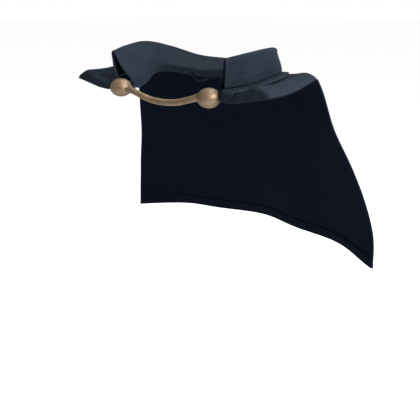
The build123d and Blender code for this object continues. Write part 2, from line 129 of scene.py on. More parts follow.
# ------------------------------------------------------------------ the cape's form
@dataclass(frozen=True)
class CapeForm:
    """Sizes of the cape and the surfaces that its cloth follows, for the wearer's left."""

    clasp_y: float = -0.045
    ball_width: float = 0.038
    neck_half: float = 0.116
    neck_back: float = 0.048
    neck_rise: float = 0.033
    neck_back_z: float = 0.028
    collar_front: Point = (0.137, -0.039, 0.0595)
    wing: Point = (0.153, 0.051, 0.0725)
    collar_back: float = 0.102
    collar_back_z: float = 0.046
    collar_base_back: float = 0.115
    shoulder_x: float = 0.236
    shoulder_rear: Point = (0.223, 0.079, 0.029)
    shoulder_front_z: float = 0.009
    pad_rise: float = 0.015
    hem_x: float = 0.299
    hem_side_y: float = 0.152
    hem_back_y: float = 0.206
    hem_z: float = -0.257
    hem_drop: float = 0.023
    flute: float = 0.007
    folds: int = 3

    @property
    def tab_front(self) -> float:
        """Y of the front face of the tab behind each ball."""
        return self.clasp_y + self.ball_width / 2 + 0.001

    def neckline(self, s: float) -> Point:
        """Neckline from the clasp (0) round one side to the centre back (1)."""
        x, back, rise = self.neck_half, self.neck_back, self.neck_rise
        return along([
            (x, self.tab_front + 0.0005, 0.014),
            (x + 0.001, 0.0, 0.020),
            (x - 0.008, back * 0.55, rise - 0.004),
            (x * 0.72, back * 0.85, rise),
            (x * 0.38, back * 0.98, rise - 0.002),
            (0.0, back, self.neck_back_z)], s)

    def rim(self, s: float) -> Point:
        """Top edge of the collar, where the facing turns over into the fall."""
        front, wing = self.collar_front, self.wing
        return along([
            front,
            (lerp(front[0], wing[0], 0.7) + 0.002, 0.002, wing[2] - 0.005),
            wing,
            (wing[0] * 0.8, self.collar_back * 0.85, wing[2] - 0.009),
            (wing[0] * 0.4, self.collar_back * 0.98, self.collar_back_z + 0.003),
            (0.0, self.collar_back, self.collar_back_z)], s)

    def top_seam(self, w: float) -> Point:
        """Top edge of the back: half the neckline, then the shoulder seam to the tip."""
        rear = self.shoulder_rear
        return along([
            (0.0, self.neck_back, self.neck_back_z - 0.001),
            self.neckline(0.8)[:2] + (self.neck_rise - 0.004,),
            self.neckline(0.6)[:2] + (self.neck_rise - 0.003,),
            (self.neck_half + 0.004, rear[1] * 0.78, rear[2] + 0.003),
            (lerp(self.neck_half, rear[0], 0.46), rear[1] * 0.96, rear[2] + 0.001),
            (rear[0] - 0.024, rear[1], rear[2] + 0.002),
            (rear[0], rear[1], rear[2] - 0.001)], w)

    def shoulder_front(self, t: float) -> Point:
        """Lower front edge of the shoulder, from behind the clasp to the corner."""
        neck, far = self.neck_half, self.shoulder_x
        return along([
            (neck + 0.001, self.tab_front + 0.0005, -0.004),
            (neck + 0.019, self.clasp_y + 0.007, -0.005),
            (lerp(neck, far, 0.38), self.clasp_y, -0.004),
            (lerp(neck, far, 0.68), self.clasp_y, self.shoulder_front_z - 0.007),
            (far, self.clasp_y + 0.001, self.shoulder_front_z)], t)

    def shoulder_side(self, s: float) -> Point:
        """Outer edge of the shoulder, from the front corner to the rear tip."""
        far, rear, front_z = self.shoulder_x, self.shoulder_rear, self.shoulder_front_z
        return along([
            (far, self.clasp_y + 0.001, front_z),
            (far - 0.002, lerp(self.clasp_y, rear[1], 0.32), front_z + 0.002),
            (far - 0.005, lerp(self.clasp_y, rear[1], 0.6), front_z + 0.008),
            (rear[0], rear[1], rear[2] - 0.001)], s)

    def shoulder_low(self, s: float, t: float) -> Point:
        """Underside of the shoulder: s front to seam, t neckline to outer edge.

        Args:
            s: from the front edge (0) to the shoulder seam (1).
            t: from the neckline (0) to the outer edge (1).

        Returns:
            The point.
        """
        neck = self.neckline(0.6 * s)
        seam_z = self.top_seam(1 / 3)[2]
        neck = (neck[0] + 0.001 * (1 - s), neck[1], lerp(neck[2] - 0.018, seam_z, s ** 2))
        rows = zip(neck, self.shoulder_side(s), self.shoulder_front(t),
                   self.top_seam(lerp(1 / 3, 1.0, t)), self.shoulder_front(0),
                   self.shoulder_front(1), self.top_seam(1 / 3), self.top_seam(1))
        return tuple(
            lerp(n, o, t) + lerp(f, k, s) - lerp(lerp(a, b, t), lerp(c, d, t), s)
            for n, o, f, k, a, b, c, d in rows)

    def pad_height(self, s: float, t: float) -> float:
        """Height of the wool over the underside: a roll along the outer half.

        Args:
            s: from the front edge to the seam.
            t: from the neckline to the outer edge.

        Returns:
            The height, in metres.
        """
        front = along([(0.016,), (0.015,), (0.011,), (0.013,),
                       (self.pad_rise + 0.005,), (0.003,)], t)[0]
        rear = along([(0.0008,), (0.0015,), (0.002,), (0.0025,),
                      (self.pad_rise * 0.3,), (0.0008,)], t)[0]
        return lerp(front, rear, s)

    def shoulder_top(self, s: float, t: float) -> Point:
        """Top of the padded shoulder."""
        x, y, z = self.shoulder_low(s, t)
        return (x, y, z + self.pad_height(s, t))

    def back_row(self, u: float, row: int) -> Point:
        """Point u (0 centre, 1 side edge) on one of seven levels down the back.

        Args:
            u: from the centre (0) to the side edge (1).
            row: level, from the shoulder seam (0) to the hem (6).

        Returns:
            The point.
        """
        if row == 0:
            return self.top_seam(u)
        down = row / 6
        rear, hem_low = self.shoulder_rear, self.hem_z - self.hem_drop
        share = down ** 1.1 if row > 1 else 0.06
        centre_y = lerp(self.collar_base_back - 0.005, self.hem_back_y, share)
        centre_z = lerp(0.021, self.hem_z, max(down - 1 / 6, 0) * 1.2)
        side = along([
            (rear[0], rear[1], rear[2] - 0.001),
            (lerp(rear[0], self.hem_x, 0.07), rear[1] + 0.011, 0.002),
            (lerp(rear[0], self.hem_x, 0.24), rear[1] + 0.025, hem_low * 0.19),
            (lerp(rear[0], self.hem_x, 0.54), self.hem_side_y - 0.026, hem_low * 0.41),
            (lerp(rear[0], self.hem_x, 0.80), self.hem_side_y - 0.012, hem_low * 0.61),
            (lerp(rear[0], self.hem_x, 0.97), self.hem_side_y - 0.002, hem_low * 0.81),
            (self.hem_x, self.hem_side_y, hem_low)], down)
        rise = (0, 0.013, 0.007, 0.003, 0, 0, 0)[row] * math.sin(math.pi * u) ** 2
        fold = self.flute * down ** 2 * math.cos(self.folds * math.pi * u)
        return (side[0] * u,
                lerp(centre_y, side[1], u * u) + fold,
                lerp(centre_z, side[2], u * u) + rise)

    def back(self, u: float, v: float) -> Point:
        """Back of the cape: u centre to side edge, v shoulder seam to hem."""
        return along([self.back_row(u, row) for row in range(7)], v)

    def collar_base(self, s: float) -> Point:
        """Lower edge of the collar's fall, resting on the yoke all the way round.

        Args:
            s: from the front (0) to the centre back (1).

        Returns:
            The point.
        """
        lift = 2 * WOOL + 2 * LAYER_GAP
        lift += lerp(0.0006, 0.0020, s) + 0.0012 * math.sin(math.pi * s)
        x, y, z = along([
            self.shoulder_top(0.0, 0.21), self.shoulder_top(0.4, 0.33),
            self.shoulder_top(0.93, 0.44), self.back(0.4, 0.085),
            self.back(0.22, 0.125), self.back(0.0, 0.13)], s)
        return (x, y, z + lift)


FORM = CapeForm()


# ------------------------------------------------------------------ finishes
def feed(tree: bpy.types.NodeTree, node: bpy.types.Node, inputs: dict) -> None:
    """Set or link some inputs of a node.

    Args:
        tree: the node's tree.
        node: the node.
        inputs: for each input, a value or the socket that feeds it.
    """
    for name, value in inputs.items():
        if isinstance(value, bpy.types.NodeSocket):
            tree.links.new(value, node.inputs[name])
        else:
            node.inputs[name].default_value = value


def add(tree: bpy.types.NodeTree, kind: str, inputs: dict | None = None,
        **values: object) -> bpy.types.Node:
    """New node in a tree.

    Args:
        tree: the tree that gets it.
        kind: the node's type.
        inputs: values or sockets for its inputs.
        **values: its properties.

    Returns:
        The node.
    """
    node = tree.nodes.new(kind)
    for key, value in values.items():
        setattr(node, key, value)
    feed(tree, node, inputs or {})
    return node


def maths(tree: bpy.types.NodeTree, operation: str, *operands: object) -> bpy.types.NodeSocket:
    """Output of a Math node on sockets or numbers."""
    return add(tree, "ShaderNodeMath", dict(enumerate(operands)), operation=operation).outputs[0]


def new_group(kind: str, name: str, inputs: Sequence[tuple[str, str]],
              outputs: Sequence[tuple[str, str]],
              ) -> tuple[bpy.types.NodeTree, bpy.types.bpy_prop_collection, bpy.types.Node]:
    """Empty node group with named sockets.

    Args:
        kind: the tree's type.
        name: the group's name.
        inputs: name and kind of each input.
        outputs: name and kind of each output.

    Returns:
        The group, the sockets that bring its inputs, and its output node.
    """
    group = bpy.data.node_groups.new(name, kind)
    for way, sockets in (("INPUT", inputs), ("OUTPUT", outputs)):
        for label, socket in sockets:
            group.interface.new_socket(label, in_out=way, socket_type="NodeSocket" + socket)
    return group, add(group, "NodeGroupInput").outputs, add(group, "NodeGroupOutput")


@dataclass(frozen=True)
class NodeGroups:
    """Shader node groups that several finishes share."""

    weave: bpy.types.NodeTree
    wear: bpy.types.NodeTree


def build_weave_group() -> bpy.types.NodeTree:
    """Twill weave: diagonal ribs crossed by finer yarns, with loose fibre noise."""
    group, given, leave = new_group(
        "ShaderNodeTree", "cloth_weave",
        [("Coordinates", "Vector"), ("Pitch", "Float"), ("Fibre", "Float")],
        [("Height", "Float"), ("Mottle", "Float")])
    spot = given["Coordinates"]
    split = add(group, "ShaderNodeSeparateXYZ", {0: spot})
    turns = maths(group, "DIVIDE", 2 * math.pi, given["Pitch"])
    across = maths(group, "MULTIPLY", split.outputs[0], turns)
    down = maths(group, "MULTIPLY", split.outputs[1], turns)
    rib = maths(group, "SINE", maths(group, "ADD", across, down))
    double = maths(group, "MULTIPLY", across, 2.0)
    yarn = maths(group, "SINE", maths(group, "SUBTRACT", double, down))
    ribs = maths(group, "MULTIPLY_ADD", rib, 0.5, maths(group, "MULTIPLY", yarn, 0.25))
    fuzz = add(group, "ShaderNodeTexNoise", {"Vector": spot, "Scale": 900.0, "Detail": 5.0})
    cloud = add(group, "ShaderNodeTexNoise",
                {"Vector": spot, "Scale": 28.0, "Detail": 6.0, "Roughness": 0.62})
    broad = maths(group, "MULTIPLY", cloud.outputs["Fac"], 0.6)
    fine = maths(group, "MULTIPLY", fuzz.outputs["Fac"], 0.4)
    feed(group, leave, {
        "Height": maths(group, "MULTIPLY_ADD", fuzz.outputs["Fac"], given["Fibre"], ribs),
        "Mottle": maths(group, "ADD", broad, fine)})
    return group


def build_wear_group() -> bpy.types.NodeTree:
    """Handling wear on metal: fine brushed grain, smudges and tarnish in patches."""
    group, given, leave = new_group(
        "ShaderNodeTree", "metal_wear", [("Coordinates", "Vector"), ("Grain", "Float")],
        [("Tarnish", "Float"), ("Grain Height", "Float")])
    spot = given["Coordinates"]
    patches = add(group, "ShaderNodeTexNoise",
                  {"Vector": spot, "Scale": 55.0, "Detail": 7.0, "Roughness": 0.6})
    stretch = add(group, "ShaderNodeMapping", {"Vector": spot, "Scale": (600.0, 600.0, 5200.0)})
    grain = add(group, "ShaderNodeTexNoise",
                {"Vector": stretch.outputs["Vector"], "Scale": 1.0, "Detail": 3.0})
    feed(group, leave, {
        "Tarnish": patches.outputs["Fac"],
        "Grain Height": maths(group, "MULTIPLY", grain.outputs["Fac"], given["Grain"])})
    return group


def new_material(name: str,
                 ) -> tuple[bpy.types.Material, bpy.types.NodeTree, bpy.types.Node]:
    """Empty material, with its tree and its shader."""
    material = bpy.data.materials.new(name)
    material.use_nodes = True
    return material, material.node_tree, material.node_tree.nodes["Principled BSDF"]


def shade_by_mask(tree: bpy.types.NodeTree, mask: bpy.types.NodeSocket,
                  colours: Sequence[tuple[float, Point]], gloss: dict[str, float],
                  bump: dict[str, object]) -> None:
    """Drive a material's colour, roughness and normal from a mask and a height.

    Args:
        tree: the material's tree.
        mask: the mottle or tarnish.
        colours: two places on the mask and the colours there.
        gloss: range of the mask, and the roughness at its ends.
        bump: height, strength and distance of the weave or grain.
    """
    ramp = add(tree, "ShaderNodeValToRGB", {"Fac": mask})
    for element, (position, colour) in zip(ramp.color_ramp.elements, colours):
        element.position = position
        element.color = (*colour, 1.0)
    shine = add(tree, "ShaderNodeMapRange", {"Value": mask, **gloss})
    relief = add(tree, "ShaderNodeBump", bump)
    feed(tree, tree.nodes["Principled BSDF"], {
        "Base Color": ramp.outputs["Color"], "Roughness": shine.outputs["Result"],
        "Normal": relief.outputs["Normal"]})


@dataclass(frozen=True)
class ClothFinish:
    """Woven cloth: its colours, weave and sheen."""

    name: str
    slot: str
    dark: Point
    light: Point
    pitch: float
    bump: float
    roughness: tuple[float, float]
    sheen: float
    sheen_roughness: float
    fibre: float = 0.4
    specular: float = 0.12

    def build(self, groups: NodeGroups) -> bpy.types.Material:
        """Material of this cloth, on the piece's own UV map in metres.

        Args:
            groups: the shared node groups.

        Returns:
            The material.
        """
        material, tree, shader = new_material(self.name)
        feed(tree, shader, {
            "Sheen Weight": self.sheen, "Sheen Roughness": self.sheen_roughness,
            "Sheen Tint": (*self.light, 1.0), "Specular IOR Level": self.specular})
        place = add(tree, "ShaderNodeTexCoord").outputs["UV"]
        weave = add(tree, "ShaderNodeGroup", {
            "Coordinates": place, "Pitch": self.pitch, "Fibre": self.fibre},
            node_tree=groups.weave)
        shade_by_mask(
            tree, weave.outputs["Mottle"], [(0.3, self.dark), (0.72, self.light)],
            {"To Min": self.roughness[0], "To Max": self.roughness[1]},
            {"Height": weave.outputs["Height"], "Strength": self.bump,
             "Distance": self.pitch * 0.25})
        return material


@dataclass(frozen=True)
class MetalFinish:
    """Metal with tarnish in patches and a fine grain."""

    name: str
    slot: str
    bright: Point
    dull: Point
    metallic: float
    roughness: tuple[float, float]
    grain: float

    def build(self, groups: NodeGroups) -> bpy.types.Material:
        """Material of this metal, on object coordinates.

        Args:
            groups: the shared node groups.

        Returns:
            The material.
        """
        material, tree, shader = new_material(self.name)
        feed(tree, shader, {"Metallic": self.metallic})
        place = add(tree, "ShaderNodeTexCoord").outputs["Object"]
        wear = add(tree, "ShaderNodeGroup", {"Coordinates": place, "Grain": self.grain},
                   node_tree=groups.wear)
        shade_by_mask(
            tree, wear.outputs["Tarnish"], [(0.36, self.bright), (0.68, self.dull)],
            {"From Min": 0.3, "From Max": 0.7, "To Min": self.roughness[0],
             "To Max": self.roughness[1]},
            {"Height": wear.outputs["Grain Height"], "Strength": 0.25, "Distance": 0.0002})
        return material


WOOL_FINISH = ClothFinish("navy_wool", "wool", (0.0095, 0.0155, 0.0250),
                          (0.0205, 0.0305, 0.0450), 0.0014, 0.55, (0.82, 0.95), 0.06, 0.45,
                          0.6)
# The lining's near-black navy is partly the satin's own dark navy and partly painted shade: it
# is darker than the cloth itself so that the inside of the cape looks shaded from any angle.
SATIN_WITH_PAINTED_SHADE = ClothFinish("lining_satin", "satin_lining", (0.0040, 0.0062, 0.0135),
                           (0.0055, 0.0082, 0.0170), 0.0005, 0.12, (0.75, 0.85), 0.0, 0.5,
                           0.1, 0.02)
CANVAS_FINISH = ClothFinish("hair_canvas", "canvas", (0.24, 0.20, 0.15), (0.46, 0.40, 0.31),
                            0.0009, 0.7, (0.85, 0.95), 0.1, 0.5, 0.5)
WADDING_FINISH = ClothFinish("wool_wadding", "wadding", (0.55, 0.53, 0.49), (0.78, 0.76, 0.71),
                             0.003, 0.5, (0.9, 1.0), 0.3, 0.6, 1.2)
# The binding tape's near-black navy is partly its own navy and partly painted shade, darkened to
# match the shaded lining inside the neck.
TAPE_WITH_PAINTED_SHADE = ClothFinish("neck_binding", "tape", (0.0045, 0.0070, 0.0140),
                          (0.0070, 0.0100, 0.0190), 0.0007, 0.6, (0.6, 0.75), 0.15, 0.4, 0.2)
THREAD_FINISH = ClothFinish("navy_thread", "wool", (0.018, 0.026, 0.040), (0.055, 0.072, 0.098),
                            0.0003, 0.5, (0.5, 0.65), 0.2, 0.4, 0.1)
BRASS_FINISH = MetalFinish("antique_brass", "antique_brass", (0.285, 0.200, 0.125),
                           (0.185, 0.130, 0.082), 0.7, (0.46, 0.60), 0.8)
CHAIN_FINISH = MetalFinish("chain_brass", "chain_brass", (0.31, 0.215, 0.135),
                           (0.20, 0.14, 0.09), 0.7, (0.45, 0.6), 0.5)
STEEL_FINISH = MetalFinish("clasp_steel", "steel", (0.55, 0.55, 0.54), (0.36, 0.35, 0.34),
                           1.0, (0.28, 0.45), 1.0)


class Wardrobe:
    """Every finish, built once and found by its description."""

    def __init__(self) -> None:
        """Build the shared groups; materials follow as they are asked for."""
        self.groups = NodeGroups(build_weave_group(), build_wear_group())
        self.made: dict[str, bpy.types.Material] = {}

    def material(self, finish: ClothFinish | MetalFinish) -> bpy.types.Material:
        """Material of a finish, built on first use."""
        if finish.name not in self.made:
            self.made[finish.name] = finish.build(self.groups)
        return self.made[finish.name]

    def dress(self, piece: bpy.types.Object, finish: ClothFinish | MetalFinish) -> None:
        """Give a new piece its only material."""
        piece.data.materials.clear()
        piece.data.materials.append(self.material(finish))

    def dress_node(self, node: str, finish: ClothFinish | MetalFinish) -> None:
        """Give a CAD node a better material in the slots that it has."""
        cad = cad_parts[node]
        for place in cad.material_slots:
            place.material = self.material(finish)
        if not cad.material_slots:
            cad.data.materials.append(self.material(finish))
        cad.data.polygons.foreach_set("use_smooth", [True] * len(cad.data.polygons))
        cad.data.set_sharp_from_angle(angle=math.radians(32))


# ------------------------------------------------------------------ sheets of cloth
@dataclass
class ClothSheet:
    """A closed sheet of cloth over part of a surface, with rounded edges.

    The sheet lies between two offsets from the surface, low and high, on the side that
    facing points to. Its UV map is in metres, so a weave keeps its size.
    """

    name: str
    surface: Surface
    facing: Facing
    low: float
    high: float
    u_range: tuple[float, float] = (0.0, 1.0)
    v_range: tuple[float, float] = (0.0, 1.0)
    nu: int = 48
    nv: int = 24
    seam: float = HALF_SEAM
    area: float = field(default=0.0, init=False)
    cut: tuple[float, float] = field(default=(0.0, 0.0), init=False)

    def shares(self, span: float, count: int) -> list[float]:
        """Places across the sheet, closer at both ends for the rounded edges.

        Args:
            span: rough length of the sheet this way, in metres.
            count: steps between its rounded edges.

        Returns:
            Shares of the way across, from 0 to 1.
        """
        radius = (self.high - self.low) / 2
        edge = [radius * part / span for part in (0.0, 0.08, 0.3, 0.65, 1.1)]
        middle = [lerp(edge[-1], 1 - edge[-1], i / count) for i in range(1, count)]
        return edge + middle + [1 - part for part in reversed(edge)]

    def span(self, vertical: bool) -> float:
        """Rough length of the sheet along one of its directions, in metres.

        Args:
            vertical: along v if true, along u if not.

        Returns:
            The length.
        """
        middle_u, middle_v = sum(self.u_range) / 2, sum(self.v_range) / 2
        ends = self.v_range if vertical else self.u_range
        steps = [lerp(*ends, i / 12) for i in range(13)]
        points = [self.surface(middle_u, p) if vertical else self.surface(p, middle_v)
                  for p in steps]
        return sum(math.dist(a, b) for a, b in zip(points, points[1:]))

    def build(self, side: Side) -> bpy.types.Object:
        """Mesh object of the sheet on one side of the cape.

        Args:
            side: the cape's side.

        Returns:
            The piece; area and cut are set from its middle surface.
        """
        us = self.shares(self.span(False), self.nu)
        vs = self.shares(self.span(True), self.nv)
        grid = np.array([[self.surface(lerp(*self.u_range, u), lerp(*self.v_range, v))
                          for v in vs] for u in us])
        grid[:, :, 0] += self.seam
        normals = grid_normals(grid, np.array(self.facing.value))
        lengths_u = edge_lengths(grid, 0)
        lengths_v = edge_lengths(grid, 1)
        centre, half = (self.low + self.high) / 2, (self.high - self.low) / 2
        inset = np.minimum(np.minimum(lengths_u, lengths_u[-1:] - lengths_u),
                           np.minimum(lengths_v, lengths_v[:, -1:] - lengths_v))
        share = np.clip(inset / half, 0.0, 1.0)
        profile = np.sqrt(np.clip(1 - (1 - share) ** 2, 0.0, 1.0))[:, :, None]
        middle = grid + normals * centre
        top = middle + normals * half * profile
        bottom = middle - normals * half * profile
        mirror = np.array([side.value, 1.0, 1.0])
        self.area = sheet_area(grid)
        self.cut = (float(lengths_u[-1].max()), float(lengths_v[:, -1].max()))
        return closed_sheet(self.name + "_" + side.word, top * mirror, bottom * mirror,
                            lengths_u, lengths_v, normals * mirror)


def grid_normals(grid: np.ndarray, facing: np.ndarray) -> np.ndarray:
    """Unit normals of a grid of points, all on the side that facing points to.

    Args:
        grid: rows of points.
        facing: a direction on the outer side.

    Returns:
        One normal for each point.
    """
    du = np.gradient(grid, axis=0)
    dv = np.gradient(grid, axis=1)
    normals = np.cross(du, dv)
    normals /= np.linalg.norm(normals, axis=2, keepdims=True) + 1e-15
    middle = normals[grid.shape[0] // 2, grid.shape[1] // 2]
    return normals if middle @ facing > 0 else -normals


def edge_lengths(grid: np.ndarray, axis: int) -> np.ndarray:
    """Distance along one direction of a grid from its first row to each point.

    Args:
        grid: rows of points.
        axis: the direction, 0 or 1.

    Returns:
        The distances.
    """
    steps = np.linalg.norm(np.diff(grid, axis=axis), axis=2)
    start = np.zeros_like(np.take(steps, [0], axis=axis))
    return np.concatenate([start, np.cumsum(steps, axis=axis)], axis=axis)


def sheet_area(grid: np.ndarray) -> float:
    """Area of one face of a grid, in square metres."""
    a = grid[1:, 1:] - grid[:-1, :-1]
    b = grid[1:, :-1] - grid[:-1, 1:]
    return float(np.linalg.norm(np.cross(a, b), axis=2).sum() / 2)


def closed_sheet(name: str, top: np.ndarray, bottom: np.ndarray, lengths_u: np.ndarray,
                 lengths_v: np.ndarray, normals: np.ndarray) -> bpy.types.Object:
    """Closed mesh from the two faces of a sheet, which meet along its border.

    Args:
        name: the piece's name.
        top: grid of points of the outer face.
        bottom: grid of points of the inner face, equal to top at the border.
        lengths_u: distance along the first direction, for the UV map.
        lengths_v: distance along the second direction, for the UV map.
        normals: outward normals, which say which way round the faces go.

    Returns:
        The mesh object, smooth shaded.
    """
    nu, nv = top.shape[:2]
    verts = [tuple(p) for p in top.reshape(-1, 3)]
    inner = {}
    for i in range(nu):
        for j in range(nv):
            if i in (0, nu - 1) or j in (0, nv - 1):
                inner[i, j] = i * nv + j
            else:
                inner[i, j] = len(verts)
                verts.append(tuple(bottom[i, j]))
    across = np.cross(top[1, 1] - top[0, 0], top[0, 1] - top[1, 0])
    flip = across @ normals[0, 0] > 0
    faces, places = [], []
    for i in range(nu - 1):
        for j in range(nv - 1):
            corners = [(i, j), (i + 1, j), (i + 1, j + 1), (i, j + 1)]
            upper = corners[::-1] if flip else corners
            faces.append([a * nv + b for a, b in upper])
            places.append(upper)
            faces.append([inner[c] for c in reversed(upper)])
            places.append(upper[::-1])
    mesh = bpy.data.meshes.new(name)
    mesh.from_pydata(verts, [], faces)
    uv = mesh.uv_layers.new(name="cloth")
    flat = np.array([(lengths_u[c], lengths_v[c]) for corners in places for c in corners])
    uv.data.foreach_set("uv", flat.astype(np.float32).ravel())
    mesh.polygons.foreach_set("use_smooth", [True] * len(faces))
    mesh.update()
    return show(name, mesh)


# ------------------------------------------------------------------ sewing and chain work
class Repeats:
    """Geometry-node modifiers that place many copies along a line, and how to run them."""

    def __init__(self) -> None:
        """Build the node group once; each use sets its own inputs."""
        self.group = self.build_group()

    def build_group(self) -> bpy.types.NodeTree:
        """Node group: copies of one shape along a line of points, turned along it."""
        group, given, leave = new_group(
            "GeometryNodeTree", "copies_along_line",
            [("Geometry", "Geometry"), ("Shape", "Object"), ("Spacing", "Float"),
             ("Jitter", "Float"), ("Material", "Material")], [("Geometry", "Geometry")])
        line = add(group, "GeometryNodeMeshToCurve", {"Mesh": given["Geometry"]})
        points = add(group, "GeometryNodeCurveToPoints", {
            "Curve": line.outputs["Curve"], "Length": given["Spacing"]}, mode="LENGTH")
        shape = add(group, "GeometryNodeObjectInfo", {"Object": given["Shape"]})
        normal = add(group, "GeometryNodeInputNamedAttribute", {"Name": "lie"},
                     data_type="FLOAT_VECTOR")
        # the copy's X runs along the line, then its Z is turned to the cloth's own normal
        ahead = add(group, "FunctionNodeAlignRotationToVector",
                    {"Vector": points.outputs["Tangent"]}, axis="X")
        face = add(group, "FunctionNodeAlignRotationToVector", {
            "Rotation": ahead.outputs["Rotation"], "Vector": normal.outputs["Attribute"]},
            axis="Z", pivot_axis="X")
        chance = add(group, "FunctionNodeRandomValue", {"Seed": 7}, data_type="FLOAT")
        wobble = maths(group, "MULTIPLY", chance.outputs[1], given["Jitter"])
        copies = add(group, "GeometryNodeInstanceOnPoints", {
            "Points": points.outputs["Points"], "Instance": shape.outputs["Geometry"],
            "Rotation": face.outputs["Rotation"],
            "Scale": maths(group, "SUBTRACT", 1.0, wobble)})
        real = add(group, "GeometryNodeRealizeInstances",
                   {"Geometry": copies.outputs["Instances"]})
        paint = add(group, "GeometryNodeSetMaterial", {
            "Geometry": real.outputs["Geometry"], "Material": given["Material"]})
        feed(group, leave, {"Geometry": paint.outputs["Geometry"]})
        return group

    def run(self, name: str, points: Sequence[Point], normals: Sequence[Point],
            shape: bpy.types.Object, spacing: float, jitter: float,
            material: bpy.types.Material) -> bpy.types.Object:
        """Copies of a shape along a line, as one plain mesh.

        Args:
            name: name of the new piece.
            points: the line, close enough together to follow its curve.
            normals: at each point, the direction that the copy's Z takes.
            shape: the object copied, with its length along X.
            spacing: distance between copies, in metres.
            jitter: how much smaller a copy may be, as a share.
            material: the material of every copy.

        Returns:
            The finished mesh object, without its modifier.
        """
        mesh = bpy.data.meshes.new(name + "_line")
        mesh.from_pydata([tuple(p) for p in points],
                         [(i, i + 1) for i in range(len(points) - 1)], [])
        lie = mesh.attributes.new("lie", "FLOAT_VECTOR", "POINT")
        lie.data.foreach_set("vector", np.array(normals, dtype=np.float32).ravel())
        line = show(name + "_line", mesh)
        modifier = line.modifiers.new("copies", "NODES")
        modifier.node_group = self.group
        values = {"Shape": shape, "Spacing": spacing, "Jitter": jitter, "Material": material}
        for item in self.group.interface.items_tree:
            if item.in_out == "INPUT" and item.name in values:
                modifier[item.identifier] = values[item.name]
        graph = bpy.context.evaluated_depsgraph_get()
        graph.update()
        finished = bpy.data.meshes.new_from_object(line.evaluated_get(graph),
                                                   depsgraph=graph)
        finished.name = name
        if "lie" in finished.attributes:
            finished.attributes.remove(finished.attributes["lie"])
        bpy.data.objects.remove(line)
        bpy.data.meshes.remove(mesh)
        if not finished.materials:
            finished.materials.append(material)
        return show(name, finished)


def ringed_shape(name: str, rows: Sequence[Sequence[Point]], closed: bool) -> bpy.types.Object:
    """Small closed shape through rings of points, kept out of the scene.

    Args:
        name: the shape's name.
        rows: rings of points, as many in each.
        closed: whether the last ring joins the first; if not, both ends are capped.

    Returns:
        The smooth-shaded mesh object, for Repeats to copy.
    """
    shape = bmesh.new()
    rings = [[shape.verts.new(point) for point in row] for row in rows]
    if not closed:
        shape.faces.new(rings[0])
        shape.faces.new(rings[-1][::-1])
    following = rings[1:] + (rings[:1] if closed else [])
    for lower, upper in zip(rings, following):
        for k, corner in enumerate(lower):
            after = (k + 1) % len(lower)
            shape.faces.new([corner, lower[after], upper[after], upper[k]])
    bmesh.ops.recalc_face_normals(shape, faces=shape.faces)
    mesh = bpy.data.meshes.new(name)
    shape.to_mesh(mesh)
    shape.free()
    mesh.polygons.foreach_set("use_smooth", [True] * len(mesh.polygons))
    return bpy.data.objects.new(name, mesh)


def circle(count: int) -> list[float]:
    """Angles of evenly spaced points round a circle."""
    return [2 * math.pi * k / count for k in range(count)]


def stitch_shape(length: float, width: float) -> bpy.types.Object:
    """One stitch: a short thread along X that dips at both ends.

    Args:
        length: its length along X.
        width: the thread's width.

    Returns:
        The shape.
    """
    rows = []
    for share, size in ((-0.5, 0.35), (-0.42, 0.8), (-0.2, 1.0), (0.2, 1.0), (0.42, 0.8),
                        (0.5, 0.35)):
        height = width * 0.35 * math.cos(math.pi * share) - width * 0.1
        radius = width / 2 * size
        rows.append([(share * length, radius * math.cos(a), height + radius * math.sin(a))
                     for a in circle(6)])
    return ringed_shape("stitch", rows, False)


def ring_shape(radius: float, thick: float) -> bpy.types.Object:
    """One ring of the snake chain, round the X axis.

    Args:
        radius: its outer radius.
        thick: half the thickness of its wire.

    Returns:
        The shape.
    """
    rows = []
    for turn in circle(8):
        reach = radius - thick + thick * math.cos(turn)
        rows.append([(thick * 1.25 * math.sin(turn), reach * math.sin(a), -reach * math.cos(a))
                     for a in circle(28)])
    return ringed_shape("chain_ring", rows, True)


def offset_line(surface: Surface, facing: Facing, path: Iterable[tuple[float, float]],
                lift: float, side: Side, seam: float = HALF_SEAM,
                ) -> tuple[list[Point], list[Point]]:
    """Points on a surface and the normals there, on one side of the cape.

    Args:
        surface: the surface in left-hand form.
        facing: which way its normal points.
        path: (u, v) pairs along the line.
        lift: distance from the surface.
        side: the cape's side.
        seam: shift off the centre line.

    Returns:
        The points and their unit normals.
    """
    points, normals = [], []
    step = 1e-3
    for u, v in path:
        a, b = (np.array(surface(min(u + step, 1), v)), np.array(surface(max(u - step, 0), v)))
        c, d = (np.array(surface(u, min(v + step, 1))), np.array(surface(u, max(v - step, 0))))
        normal = np.cross(a - b, c - d)
        normal /= np.linalg.norm(normal)
        if normal @ np.array(facing.value) < 0:
            normal = -normal
        spot = np.array(surface(u, v)) + normal * lift + np.array([seam, 0, 0])
        points.append((spot[0] * side.value, spot[1], spot[2]))
        normals.append((normal[0] * side.value, normal[1], normal[2]))
    return points, normals


def normal_at(surface: Surface, facing: Facing, u: float, v: float) -> np.ndarray:
    """Unit normal of a surface at one place, on the side that facing points to."""
    points, normals = offset_line(surface, facing, [(u, v)], 0.0, Side.LEFT)
    return np.array(normals[0])


class Section:
    """Surface swept from sections: v walks along the section of each u by its length."""

    def __init__(self, outline: Callable[[float], list[np.ndarray]]) -> None:
        """Keep the function that draws the section of one u."""
        self.outline = outline
        self.drawn: dict[float, tuple[np.ndarray, np.ndarray]] = {}

    def __call__(self, u: float, v: float) -> Point:
        """Point a share v along the section of u.

        Args:
            u: which section.
            v: share of its length.

        Returns:
            The point.
        """
        if u not in self.drawn:
            points = np.array(self.outline(u))
            steps = np.linalg.norm(np.diff(points, axis=0), axis=1)
            walked = np.concatenate([[0.0], np.cumsum(steps)])
            self.drawn[u] = points, walked / walked[-1]
        points, shares = self.drawn[u]
        return tuple(float(np.interp(v, shares, points[:, k])) for k in range(3))


